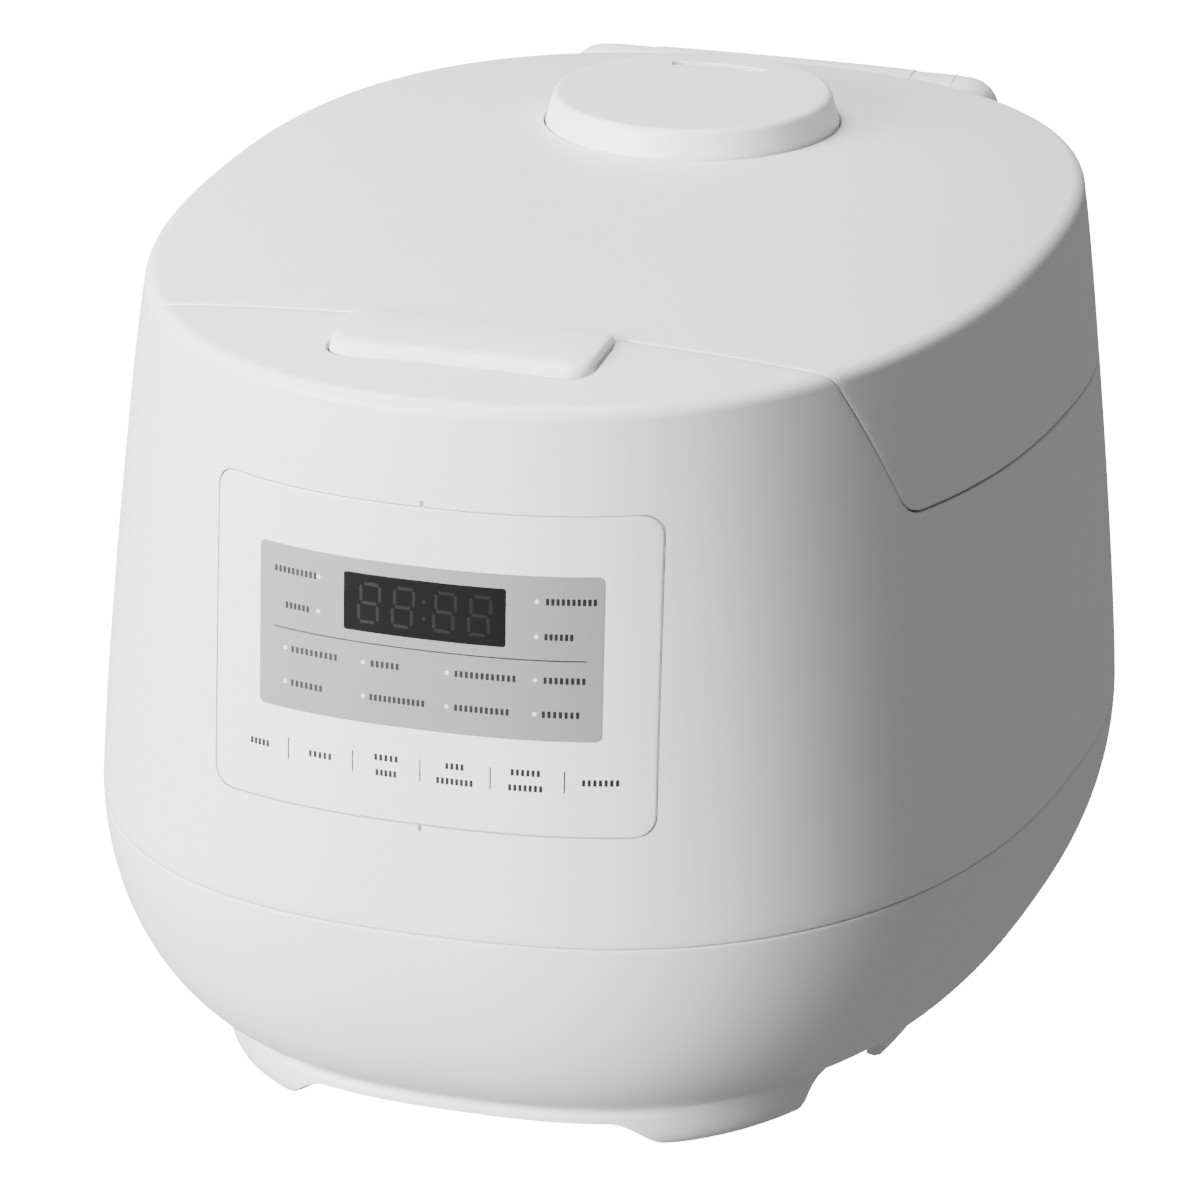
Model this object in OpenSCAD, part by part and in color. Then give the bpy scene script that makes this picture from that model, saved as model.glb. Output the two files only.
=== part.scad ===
// Six-cup rice cooker: a bowl-shaped casing, a hinged lid that takes in the upper
// sides, a release bar on the front deck, a steam cap, a pot and its heating parts.
// The front faces -Y, the origin is the middle of the floor area, +Z is up. Lengths
// along Y are measured in the plan of the casing, and place() moves each piece from
// there to the middle of the whole object.

/* [Casing] */
// Widest half width of the casing
half_w = 127; // [115:1:140]
// Half depth from the plan centre to the front
front_half = 162.7; // [150:0.5:175]
// Half depth from the plan centre to the back
back_half = 141.7; // [130:0.5:150]
// Plan centre, measured along Y
plan_y = 10.5; // [0:0.5:20]
// Height of the widest ring
widest_z = 72; // [60:1:85]
// Height of the top edge over the origin
rim_z = 211.5; // [200:0.5:225]
// How much the sides lean in at the top edge
lean_x = 11.6; // [6:0.2:16]
// How much the front and back lean in at the top edge
lean_y = 5.6; // [3:0.2:9]
// How far the bowl draws in towards its foot
bowl_in = 45; // [35:1:55]
// Rise of the top per millimetre towards the back
top_tilt = 0.02; // [0:0.005:0.04]
// Height of the domed top over its edge
dome_h = 7.1; // [4:0.1:10]
// Radius of the top edge
edge_r = 4; // [2:0.5:6]
// Wall thickness of the plastic shells
wall = 2.8; // [2:0.1:3.6]
// Height of the seam between base and casing
seam_z = 69.5; // [60:0.5:80]
// Facets round the shells
seg = 64; // [32:4:96]

/* [Lid] */
// Front seam of the lid at the top edge
lid_front_y = -98.9; // [-105:0.1:-90]
// Slope of the lid's front face
lid_slope = 0.43; // [0.3:0.01:0.6]
// Height of the side seam above the origin
side_seam_z = 166.3; // [155:0.1:175]
// Fall of the side seam in degrees
side_seam_tilt = 1.52; // [0:0.1:3]
// Radius at the seam's inner corner
seam_r = 8; // [4:0.5:12]
// Gap between the lid and the casing
lid_gap = 0.7; // [0.4:0.1:1.2]
// Hinge axis behind the lid
hinge_y = 153.5; // [150:0.5:160]
// Hinge axis height
hinge_z = 203; // [198:0.5:206]
// Radius of the hinge housing
barrel_r = 9.5; // [8:0.5:10]
// Lower end of the hinge housing
housing_low = 118; // [100:1:140]
// Half width of the hinge housing
housing_half = 64; // [56:1:70]

/* [Steam cap] */
// Distance of the cap behind the origin
cap_y = 69.2; // [60:0.5:80]
// Radius of the cap at its foot
cap_r = 39.6; // [34:0.2:46]
// Radius of the cap's flat top
cap_top_r = 37.4; // [30:0.2:42]
// Height of the cap's top face
cap_top_z = 226.8; // [224:0.2:232]

/* [Release bar] */
// Half length of the release bar
bar_half = 34.4; // [28:0.2:40]
// Depth of the release bar, front to back
bar_d = 25; // [18:0.5:28]
// Travel of the release bar
press = 3; // [2:0.5:4]

/* [Pot] */
// Centre of the pot along Y
pot_y = 24; // [15:1:30]
// Outer radius of the pot
pot_r = 94; // [85:1:95]
// Height of the pot's base
pot_base_z = 48; // [46:0.5:52]
// Height of the pot's rim
pot_rim_z = 160.3; // [150:0.5:161]

/* [Panel] */
// Half width of the control panel
panel_half = 58.2; // [50:0.2:62]
// Lower edge of the panel
panel_low = 99.2; // [90:0.2:110]
// Upper edge of the panel
panel_high = 181.6; // [170:0.2:190]

/* [Hidden] */
$fn = 64;
seam_gap = 0.3;
bowl_h = 64;
foot_x = 86.3;
foot_y = 118.3;
foot_n = 2.7;
nose_n = 2.27;
low_n = 2.5;
tail_n = 2.53;
dome_n = 2.65;
cap_gap = 0.7;
cap_low_z = 215.4;
cap_shoulder_z = 218.4;
lid_angle = atan(lid_slope);
parting_corner = [-80.4, 168.4];

// ---- Shape of the casing ----

function clamp01(v) = min(1, max(0, v));
function side_share(z) = pow(clamp01((z - widest_z) / (rim_z - widest_z)), 1.3);
function low_share(z) = min(0.985, clamp01((widest_z - z) / bowl_h));
function bowl_draw(z) = bowl_in * (1 - sqrt(1 - pow(low_share(z), 2)));
function ring_hx(z) = half_w - lean_x * side_share(z) - bowl_draw(z);
function ring_hy(z, side) =
    (side < 0 ? front_half : back_half) - lean_y * side_share(z) - bowl_draw(z);
function ring_n(z, side) =
    side > 0 ? tail_n : low_n + (nose_n - low_n) * clamp01((z - widest_z) / (rim_z - widest_z));
function spow(v, e) = sign(v) * pow(abs(v), e);
function tilt_share(z) = pow(clamp01((z - widest_z) / (rim_z - widest_z)), 4);

// One ring of the casing at height z, drawn in by off.
function ring(z, off) = [for (j = [0:seg - 1])
    let (a = 360 * j / seg, c = cos(a), s = sin(a), n = ring_n(z, s),
        x = (ring_hx(z) - off) * spow(c, 2 / n),
        y = plan_y + (ring_hy(z, s) - off) * spow(s, 2 / n))
    [x, y, z + top_tilt * y * tilt_share(z)]];

// One ring of the top, drawn in by off and lowered by drop.
function top_ring(off, drop) = [for (p = ring(rim_z, off)) [p[0], p[1], p[2] - drop]];

// One ring of the dome at share s of the edge ring.
function dome_ring(s, off, drop) = [for (p = ring(rim_z, off))
    let (x = p[0] * s, y = plan_y + (p[1] - plan_y) * s)
    [x, y, rim_z + top_tilt * y + dome_h * (1 - pow(s, dome_n)) - drop]];

dome_steps = [0.97, 0.9, 0.78, 0.62, 0.44, 0.25, 0.05];
wall_steps = [0.12, 0.26, 0.4, 0.54, 0.68, 0.82, 0.93];
inner_dome_steps = [0.9, 0.65, 0.35, 0.05];
inner_wall_steps = [0.26, 0.54, 0.82];

// Rings of the closed top half, from height z0 over the edge to the middle of the dome.
// The outside has finer steps than the inside.
function upper_rings(z0, t, fine) = concat(
    [ring(z0, t)],
    [for (u = fine ? wall_steps : inner_wall_steps) ring(z0 + (rim_z - edge_r - 3 - z0) * u, t)],
    [for (a = [0:(fine ? 30 : 45):90])
        top_ring(t + edge_r * (1 - cos(a)), t + edge_r * (1 - sin(a)))],
    [for (s = fine ? dome_steps : inner_dome_steps) dome_ring(s, t + edge_r, t)]);

function flipped(v) = [for (i = [len(v) - 1:-1:0]) v[i]];

// Skin over a list of rings, capped at both ends or joined end to start.
module skin(rings, joined = false) {
    n = len(rings[0]);
    m = len(rings);
    spans = joined ? m : m - 1;
    polyhedron(
        points = [for (r = rings) each r],
        faces = concat(
            [for (i = [0:spans - 1], j = [0:n - 1], k = [0, 1])
                let (a = i * n, b = ((i + 1) % m) * n, j1 = (j + 1) % n)
                k == 0 ? [a + j, b + j, b + j1] : [a + j, b + j1, a + j1]],
            joined ? [] : [[for (j = [0:n - 1]) j],
                [for (j = [n - 1:-1:0]) (m - 1) * n + j]]));
}

module casing() {
    skin(concat(flipped(upper_rings(seam_z + seam_gap, wall, false)),
        upper_rings(seam_z + seam_gap, 0, true)));
}

// Solid inside of the casing, drawn in by t; a negative t stands proud of the outside.
module casing_inside(t) {
    skin(upper_rings(seam_z + seam_gap, t, t < 0));
}

// Outline of the lid's side of the parting, moved down and forward by g.
function parting_arc(g) =
    let (n1 = [cos(lid_angle), sin(lid_angle)],
        turn = 90 - lid_angle - side_seam_tilt,
        t = seam_r * tan(turn / 2),
        d1 = [sin(lid_angle), -cos(lid_angle)],
        mid = parting_corner - d1 * t + n1 * seam_r)
    [for (i = [0:6])
        let (a = 180 + lid_angle + turn * i / 6) mid + (seam_r + g) * [cos(a), sin(a)]];

module lid_side(g) {
    high = 245;
    n1 = [cos(lid_angle), sin(lid_angle)];
    n2 = [sin(side_seam_tilt), cos(side_seam_tilt)];
    start = [lid_front_y - lid_slope * (high - rim_z), high] - n1 * g;
    end = [200, side_seam_z - 200 * tan(side_seam_tilt)] - n2 * g;
    rotate([90, 0, 90]) translate([0, 0, -150]) linear_extrude(height = 300)
        polygon(concat([start], parting_arc(g), [end, [200, high]]));
}

// Clear space round the hinge housing inside the lid.
module hinge_room(r) {
    w = housing_half + 1.2;
    translate([-w, hinge_y, hinge_z]) rotate([0, 90, 0]) cylinder(h = 2 * w, r = r);
    translate([-w, hinge_y - r, 100]) cube([2 * w, 60, hinge_z - 100]);
}

// Curved plate that follows the front wall, from depth d0 to d1.
function front_y(x, z, d) =
    let (n = ring_n(z, -1), hx = ring_hx(z) - d, hy = ring_hy(z, -1) - d)
    plan_y - hy * pow(1 - pow(abs(x) / hx, n), 1 / n);

module front_plate(x0, x1, z0, z1, d0, d1) {
    nx = 16;
    nz = 6;
    skin([for (i = [0:nx])
        let (x = x0 + (x1 - x0) * i / nx)
        concat(
            [for (k = [0:nz]) let (z = z0 + (z1 - z0) * k / nz) [x, front_y(x, z, d1), z]],
            [for (k = [nz:-1:0]) let (z = z0 + (z1 - z0) * k / nz) [x, front_y(x, z, d0), z]])]);
}

// ---- Small helpers ----

mid_y = (hinge_y + barrel_r + plan_y - front_half) / 2;

module place() {
    translate([0, -mid_y, 0]) children();
}

module rounded_plan(w, d, r) {
    square([w - 2 * r, d], center = true);
    square([w, d - 2 * r], center = true);
    for (x = [-1, 1], y = [-1, 1]) translate([x * (w / 2 - r), y * (d / 2 - r)]) circle(r = r);
}

module rounded_block(w, d, h, r) {
    linear_extrude(height = h) rounded_plan(w, d, r);
}

module tube(r_out, r_in, h) {
    difference() {
        cylinder(h = h, r = r_out);
        translate([0, 0, -1]) cylinder(h = h + 2, r = r_in);
    }
}

// Pan-head screw with its shank pointing up.
module screw(r, len_s) {
    difference() {
        union() {
            cylinder(h = 2, r = 2 * r);
            cylinder(h = 2 + len_s, r = r);
        }
        for (a = [0, 90]) rotate(a) translate([-1.4, -0.4, -1]) cube([2.8, 0.8, 2]);
    }
}

// Coil spring standing on the origin.
module coil(r, wire, h, turns) {
    steps = 8;
    total = steps * turns;
    rise = h - 2 * wire;
    skin([for (i = [0:total])
        let (a = 360 * i / steps, z = wire + rise * i / total)
        [for (k = [0:4]) let (b = -72 * k, q = r + wire * cos(b))
            [q * cos(a), q * sin(a), z + wire * sin(b)]]]);
}

// ---- Base ----

// How far the skirt stands out from its floor line at height z.
function foot_swell(z) = lookup(z, [[0, 0], [1.5, 3.2], [4, 4.7], [8, 5.3], [12, 6], [15, 7]]);

function foot_ring(z, grow) =
    let (hx = foot_x + foot_swell(z) + grow, hy = foot_y + foot_swell(z) + grow, e = 2 / foot_n)
    [for (j = [0:seg - 1]) let (a = 360 * j / seg) [hx * spow(cos(a), e), hy * spow(sin(a), e), z]];

skirt_steps = [1.5, 4, 8, 12];
bowl_steps = [14, 17, 22, 29, 37, 46, 56];
inner_bowl_steps = [21, 29, 37, 46, 56];
ledge_z = 16;
plate_low = 13.5;
plate_top = 15.7;

// Arches between the feet: low ones at the front and back, full ones at the sides.
module foot_arches() {
    arch_low = 8.5;
    arch_high = 13;
    translate([-200, -40, -1]) cube([400, 80, 2]);
    rotate([90, 0, 0]) translate([0, 0, -200]) linear_extrude(height = 400)
        polygon([[-50, -1], [-46, 4], [-43, 7], [-38, arch_low], [38, arch_low], [43, 7], [46, 4],
            [50, -1]]);
    for (s = [-1, 1]) scale([1, s, 1]) rotate([90, 0, 90]) translate([0, 0, -150])
        linear_extrude(height = 300)
            polygon([[-75.5, -1], [-77.5, 4], [-77.5, 9], [-74, 12], [-68, arch_high],
                [-44, arch_high], [-40.5, 9], [-40, -1]]);
}

base_boss = [for (x = [-50, 50], y = [-104, 104]) [x, y]];

module base_shell() {
    place() color("whitesmoke") difference() {
        union() {
            difference() {
                skin(concat(
                    [foot_ring(0.5, 0)], [for (z = skirt_steps) foot_ring(z, 0)],
                    [for (z = bowl_steps) ring(z, 0)], [ring(seam_z, 0)],
                    [ring(seam_z, wall)], [for (z = flipped(inner_bowl_steps)) ring(z, wall)],
                    [foot_ring(ledge_z + 2.2, -18), foot_ring(ledge_z, -18)],
                    [foot_ring(ledge_z, -3.5), foot_ring(0.5, -3.5)]), joined = true);
                foot_arches();
            }
            for (p = base_boss) translate([p[0], p[1], ledge_z]) cylinder(h = 12, r = 4.5);
        }
        for (p = base_boss) translate([p[0], p[1], ledge_z - 1]) cylinder(h = 12, r = 1.4);
    }
}

foot_spots = [for (x = [-54, 54], y = [-84, 84]) [x, y]];

module rubber_feet() {
    place() color("dimgray") for (p = foot_spots) translate([p[0], p[1], 0]) difference() {
        cylinder(h = plate_low, r = 6.5);
        translate([0, 0, -1]) cylinder(h = 3, r = 3);
    }
}

module bottom_plate() {
    place() color("gainsboro") difference() {
        skin([foot_ring(plate_low, -4.2), [for (p = foot_ring(plate_low, -4.2)) [p[0], p[1], plate_top]]]);
        for (i = [-4:4], y = [-1, 1]) translate([i * 9 - 2, y * 34 - 14, 10]) cube([4, 28, 12]);
        for (p = base_boss) translate([p[0], p[1], 10]) cylinder(h = 12, r = 1.8);
    }
}

module base_screws() {
    place() color("silver") for (p = base_boss) translate([p[0], p[1], plate_low - 2]) screw(1.38, 10);
}

// ---- Casing and frame ----

bar_front = lid_front_y - 0.7 - bar_d;
bar_mid = lid_front_y - 0.7 - bar_d / 2;

// Clear space round the release bar, from height z0 to z1.
module bar_room(grow, z0, z1) {
    side = 1.6 + 2 * grow;
    translate([0, bar_mid + 0.2, z0])
        rounded_block(2 * bar_half + side, bar_d + side + 2, z1 - z0, 6);
}

module body_shell() {
    place() color("white") difference() {
        casing();
        lid_side(lid_gap);
        front_plate(-panel_half - 0.6, panel_half + 0.6, panel_low - 0.6, panel_high + 0.6, -4, 1.5);
        front_plate(-30, 30, 120, 172, -2, 8);
        bar_room(0, 195, 230);
        translate([-14.3, 135, 70.5]) cube([28.6, 30, 24.6]);
    }
}

module frame_band() {
    difference() {
        lid_side(lid_gap + 2.6);
        lid_side(lid_gap);
    }
}

frame_spots = [[-96, -36], [96, -36], [-96, 92], [96, 92]];

module upper_frame() {
    place() color("gainsboro") difference() {
        union() {
            intersection() {
                casing_inside(wall + 0.3);
                frame_band();
            }
            difference() {
                translate([0, pot_y, 158]) cylinder(h = 14, r = 106);
                lid_side(lid_gap);
            }
            difference() {
                for (p = frame_spots) translate([p[0], p[1], 146]) cylinder(h = 22, r = 4);
                lid_side(lid_gap);
            }
        }
        translate([0, pot_y, 150]) cylinder(h = 30, r = 103);
        translate([-12.5, -110, 186.4]) cube([25, 30, 5]);
        translate([0, 2, 0]) bar_room(0.9, 204, 230);
        for (p = frame_spots) translate([p[0], p[1], 140]) cylinder(h = 20, r = 1.4);
    }
}

module frame_screws() {
    place() color("silver") for (p = frame_spots) translate([p[0], p[1], 143.6]) screw(1.38, 12);
}

module heating_chamber() {
    place() color("silver") translate([0, pot_y, 0]) difference() {
        union() {
            rotate_extrude() polygon([[60, 34], [92, 34], [98, 40], [98, 155.4], [105.4, 155.4],
                [105.4, 157.6], [97, 157.6], [97, 41], [91.6, 35.2], [60, 35.2]]);
            for (a = [45:90:315]) rotate(a) translate([70, 0, 22]) cylinder(h = 12.5, r = 4);
        }
        for (a = [45:90:315]) rotate(a) translate([70, 0, 20]) cylinder(h = 20, r = 1.5);
    }
}

module heater_plate() {
    place() color("lightgray") translate([0, pot_y, 0]) rotate_extrude()
        polygon([[17, 37], [80, 37], [84, 40], [84, 45.4], [82, 47.4], [50, 47.6], [17, 47.2]]);
}

module heater_terminals() {
    place() color("goldenrod") translate([0, pot_y, 0]) for (s = [-1, 1]) {
        translate([s * 40, -40, 28]) cylinder(h = 8.8, r = 3);
        translate([s * 40 - 3, -43.5, 22]) cube([6, 0.8, 6.5]);
        translate([s * 40 - 3, -43.5, 27.2]) cube([6, 6, 0.8]);
    }
}

module side_heater() {
    place() color("silver") translate([0, pot_y, 84]) {
        tube(100, 98.3, 34);
        translate([-5, -101.5, 4]) cube([10, 1.8, 26]);
    }
}

module thermal_fuse() {
    place() color("khaki") translate([30, pot_y - 20, 30]) {
        rotate([0, 90, 0]) cylinder(h = 14, r = 2.2);
        translate([-8, -0.5, -0.5]) cube([30, 1, 1]);
        translate([-10, -4, 1.8]) cube([5, 8, 1.2]);
    }
}

module sensor_spring() {
    place() color("silver") translate([0, pot_y, 27.4]) coil(8.5, 0.7, 17, 6);
}

// Spun cup under the heater plate that holds the sensor and its spring.
module sensor_cup() {
    place() color("silver") translate([0, pot_y, 0]) rotate_extrude()
        polygon([[5.2, 26.1], [15.4, 26.1], [16.6, 27.3], [16.6, 35.8], [24, 35.8], [24, 36.9],
            [15.4, 36.9], [15.4, 27.3], [5.2, 27.3]]);
}

module pot_sensor() {
    place() color("silver") translate([0, pot_y, 0]) {
        translate([0, 0, 44.6]) cylinder(h = 3.1, r = 14.5);
        translate([0, 0, 37]) tube(14.5, 13.2, 7.7);
        translate([0, 0, 26]) cylinder(h = 18.8, r = 4);
    }
}

module inner_pot() {
    place() color("dimgray") translate([0, pot_y, 0]) rotate_extrude() polygon(concat(
        [[0, pot_base_z + 1.6], [40, pot_base_z]],
        [for (a = [-90:15:0]) [pot_r - 22 + 22 * cos(a), pot_base_z + 22 + 22 * sin(a)]],
        [[pot_r, pot_rim_z - 2], [100.5, pot_rim_z - 2], [101.5, pot_rim_z - 1], [100.5, pot_rim_z],
            [pot_r - 0.5, pot_rim_z], [pot_r - 2, pot_rim_z - 2]],
        [for (a = [0:-15:-90]) [pot_r - 22 + 20 * cos(a), pot_base_z + 22 + 20 * sin(a)]],
        [[0, pot_base_z + 3.6]]));
}

// ---- Controls ----

module panel_window() {
    rotate([90, 0, 0]) translate([0, 0, 100]) linear_extrude(height = 90)
        translate([0, (panel_low + panel_high) / 2])
            rounded_plan(2 * panel_half - 0.4, panel_high - panel_low - 0.4, 5);
}

display_mid = [0.6, 155.3];
display_size = [42.6, 15.4];

module control_panel() {
    place() color("white") difference() {
        intersection() {
            front_plate(-panel_half, panel_half, panel_low, panel_high, 0.1, 1.3);
            panel_window();
        }
        translate([display_mid[0] - display_size[0] / 2, -170, display_mid[1] - display_size[1] / 2])
            cube([display_size[0], 40, display_size[1]]);
    }
}

module display_window() {
    place() color("black") front_plate(display_mid[0] - display_size[0] / 2 + 0.15,
        display_mid[0] + display_size[0] / 2 - 0.15,
        display_mid[1] - display_size[1] / 2 + 0.15,
        display_mid[1] + display_size[1] / 2 - 0.15, 0.15, 2.4);
}

module display_module() {
    place() color("dimgray") difference() {
        translate([display_mid[0] - 20, -145.4, display_mid[1] - 7]) cube([40, 12.3, 14]);
        for (i = [0:3]) translate([display_mid[0] - 17.4 + i * 9.2, -146, display_mid[1] - 4])
            cube([6.4, 1.6, 8]);
    }
}

board_y = -133;

module control_board() {
    place() color("darkgreen") difference() {
        translate([-46, board_y, 106]) cube([92, 1.6, 68]);
        for (x = [-1, 1], z = [122, 170]) translate([x * 42, board_y - 1, z])
            rotate([-90, 0, 0]) cylinder(h = 4, r = 1.6);
    }
}

key_x = [-42, -27, -9, 9, 27, 42];

module key_switches() {
    place() color("dimgray") for (x = key_x) translate([x, board_y, 113.5]) rotate([90, 0, 0]) {
        translate([-3, -3, 0]) cube([6, 6, 1.8]);
        cylinder(h = 2.6, r = 1.7);
    }
}

led_spots = concat([for (z = [160, 151], x = [-27.6, 29.3]) [x, z]],
    [for (z = [139.8, 131], x = [-37, -15.2, 6.9, 29.1]) [x, z]]);

module indicator_leds() {
    place() color("ivory") for (p = led_spots) translate([p[0] - 1, board_y - 1.1, p[1] - 0.6])
        cube([2, 1.1, 1.2]);
}

module board_carrier() {
    place() color("gray") difference() {
        union() {
            translate([-48, board_y + 5, 100]) cube([96, 2.4, 78]);
            for (x = [-1, 1], z = [122, 170]) translate([x * 42, board_y + 1.7, z])
                rotate([-90, 0, 0]) cylinder(h = 4, r = 3.4);
            for (x = [-50, 48]) translate([x, board_y + 1.7, 100]) cube([2, 12, 78]);
        }
        for (x = [-1, 1], z = [122, 170]) translate([x * 42, board_y, z])
            rotate([-90, 0, 0]) cylinder(h = 10, r = 1.2);
        translate([-20, board_y, 124]) cube([40, 20, 30]);
    }
}

module power_board() {
    place() color("peru") translate([-50, -124, 38]) difference() {
        cube([100, 40, 1.6]);
        for (x = [5, 95], y = [5, 35]) translate([x, y, -1]) cylinder(h = 4, r = 1.6);
    }
}

module transformer() {
    place() color("goldenrod") translate([-32, -104, 39.8]) {
        translate([-12, -10, 0]) cube([24, 20, 4]);
        translate([-9, -8, 4]) cube([18, 16, 14]);
        translate([-12, -6, 18]) cube([24, 12, 4]);
    }
}

module relays() {
    place() color("royalblue") for (i = [0, 1]) translate([2 + i * 22, -112, 39.8]) cube([18, 14, 15]);
    place() color("black") translate([44, -94, 39.8]) cylinder(h = 18, r = 4.8);
    place() color("black") translate([-6, -94, 39.8]) cylinder(h = 14, r = 4);
}

module power_inlet() {
    place() color("black") difference() {
        translate([-14, 129, 71]) cube([28, 23.4, 23.6]);
        translate([-11, 135, 75]) cube([22, 30, 15]);
        for (s = [-1, 1]) translate([s * 5, 120, 82.5]) rotate([-90, 0, 0]) cylinder(h = 20, r = 2);
    }
}

module inlet_pins() {
    place() color("silver") for (s = [-1, 1]) translate([s * 5, 124, 82.5]) rotate([-90, 0, 0])
        cylinder(h = 22, r = 1.9);
}

// ---- Hinge ----

arm_x = 44;
arm_w = 12;
knuckle_r = 8.9;

module housing_body() {
    translate([-housing_half, hinge_y, hinge_z]) rotate([0, 90, 0])
        cylinder(h = 2 * housing_half, r = barrel_r);
    rotate([90, 0, 90]) translate([0, 0, -housing_half]) linear_extrude(height = 2 * housing_half)
        polygon([[124, hinge_z - 2], [124, housing_low], [hinge_y - 1.5, housing_low],
            [hinge_y + barrel_r - 0.6, hinge_z - 30], [hinge_y + barrel_r, hinge_z - 8],
            [hinge_y + barrel_r, hinge_z], [hinge_y, hinge_z]]);
}

module hinge_housing() {
    place() color("white") difference() {
        housing_body();
        casing_inside(-0.1);
        intersection() {
            casing_inside(-0.9);
            lid_side(0.4);
        }
        for (s = [-1, 1])
            translate([s * arm_x - arm_w / 2 - 0.4, hinge_y - 30, hinge_z - knuckle_r - 0.4])
                cube([arm_w + 0.8, 31 + barrel_r, 40]);
        translate([-housing_half + 4, hinge_y, hinge_z]) rotate([0, 90, 0])
            cylinder(h = 2 * housing_half - 8, r = 3.04);
        translate([-31, hinge_y, hinge_z]) rotate([0, 90, 0]) cylinder(h = 62, r = 6.4);
    }
}

module hinge_pin() {
    place() color("silver") translate([-housing_half + 5, hinge_y, hinge_z]) rotate([0, 90, 0])
        cylinder(h = 2 * housing_half - 10, r = 3);
}

module hinge_spring() {
    place() color("silver") translate([-28, hinge_y, hinge_z]) rotate([0, 90, 0]) coil(4.8, 0.9, 56, 14);
}

module hinge_arms() {
    place() color("silver") difference() {
        union() {
            for (s = [-1, 1]) {
                translate([s * arm_x - arm_w / 2, hinge_y, hinge_z]) rotate([0, 90, 0])
                    cylinder(h = arm_w, r = 5);
                translate([s * arm_x - arm_w / 2, 118, hinge_z - 5]) cube([arm_w, hinge_y - 118, 4]);
                translate([s * arm_x - arm_w / 2, 118, 176]) cube([arm_w, 3, hinge_z - 177]);
            }
            translate([-arm_x - arm_w / 2, 112, 174]) cube([2 * arm_x + arm_w, 9, 2.5]);
        }
        translate([-housing_half, hinge_y, hinge_z]) rotate([0, 90, 0])
            cylinder(h = 2 * housing_half, r = 3.06);
    }
}

// White covers round the arms' eyes, which fill the gaps in the hinge housing.
module hinge_knuckles() {
    place() color("white") for (s = [-1, 1])
        translate([s * arm_x - arm_w / 2, hinge_y, hinge_z]) difference() {
            rotate([0, 90, 0]) cylinder(h = arm_w, r = knuckle_r);
            translate([-1, 0, 0]) rotate([0, 90, 0]) cylinder(h = arm_w + 2, r = 5.1);
            translate([-1, -20, -5.1]) cube([arm_w + 2, 20, 4.2]);
        }
}

// ---- Release bar and latch ----

module button_well() {
    place() color("gainsboro") difference() {
        bar_room(2.4, 198, 206.8);
        bar_room(0.9, 200, 230);
        translate([-7, -115, 190]) cube([14, 10, 20]);
        lid_side(lid_gap + 2.8);
    }
}

module release_bar() {
    place() color("white") {
        intersection() {
            rotate([90, 0, 90]) translate([0, 0, -bar_half]) linear_extrude(height = 2 * bar_half)
                polygon([[bar_front, 204.4], [lid_front_y - 0.7, 204.4], [lid_front_y - 0.7, 211.2],
                    [lid_front_y - 2.2, 214.7], [lid_front_y - 2.8, 215.2],
                    [bar_front + 3.6, 213.8], [bar_front, 210.6]]);
            translate([0, bar_mid, 200]) rounded_block(2 * bar_half, bar_d, 20, 5);
        }
        rotate([90, 0, 90]) translate([0, 0, -6]) linear_extrude(height = 12)
            polygon([[-106, 205], [-114, 205], [-114, 200], [-108, 194], [-106, 194]]);
    }
}

module button_spring() {
    place() color("silver") for (s = [-1, 1]) translate([s * 22, bar_mid, 200.3]) coil(4, 0.5, 3.9, 3);
}

module latch_slide() {
    place() color("gray") rotate([90, 0, 90]) translate([0, 0, -10]) linear_extrude(height = 20)
        polygon([[-122, 187], [-91.2, 187], [-90.4, 189], [-91.2, 190.6], [-105.17, 190.6],
            [-111.97, 197.4], [-118, 197.4], [-118, 196], [-122, 196]]);
}

module latch_spring() {
    place() color("silver") translate([0, -122.3, 191.5]) rotate([90, 0, 0]) coil(3, 0.5, 9, 4);
}

// ---- Lid ----

module cap_room(r) {
    translate([0, cap_y, 150]) cylinder(h = 100, r = r);
}

// Flat wall that closes the lid's back in front of the hinge housing.
module lid_back_wall() {
    back_y = hinge_y - barrel_r - 1;
    intersection() {
        casing_inside(1);
        lid_side(0);
        translate([-60, back_y - 1.8, 150]) cube([120, 2.4, 61]);
    }
}

module arm_slots(gap) {
    for (s = [-1, 1]) translate([s * arm_x - arm_w / 2 - gap, 120, hinge_z - 5.6])
        cube([arm_w + 2 * gap, 40, 5.4]);
}

module lid_cover() {
    place() color("white") difference() {
        union() {
            intersection() {
                casing();
                lid_side(0);
            }
            lid_back_wall();
        }
        hinge_room(barrel_r + 0.8);
        arm_slots(0.5);
        cap_room(cap_r + cap_gap);
    }
}

well_floor_z = 208;

module steam_well() {
    place() color("gainsboro") difference() {
        intersection() {
            translate([0, cap_y, well_floor_z]) cylinder(h = 20, r = cap_r + cap_gap + 1.4);
            casing_inside(wall + 0.15);
        }
        translate([0, cap_y, well_floor_z + 2]) cylinder(h = 20, r = cap_r + cap_gap);
        translate([0, cap_y, well_floor_z - 1]) cylinder(h = 20, r = 9.3);
    }
}

lid_screw_spots = [[-86, -40], [86, -40], [-78, 92], [78, 92]];
sensor_x = -34;
sensor_y = 34;
knob_y = -6;

function seam_height(y) = side_seam_z - y * tan(side_seam_tilt);

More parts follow.
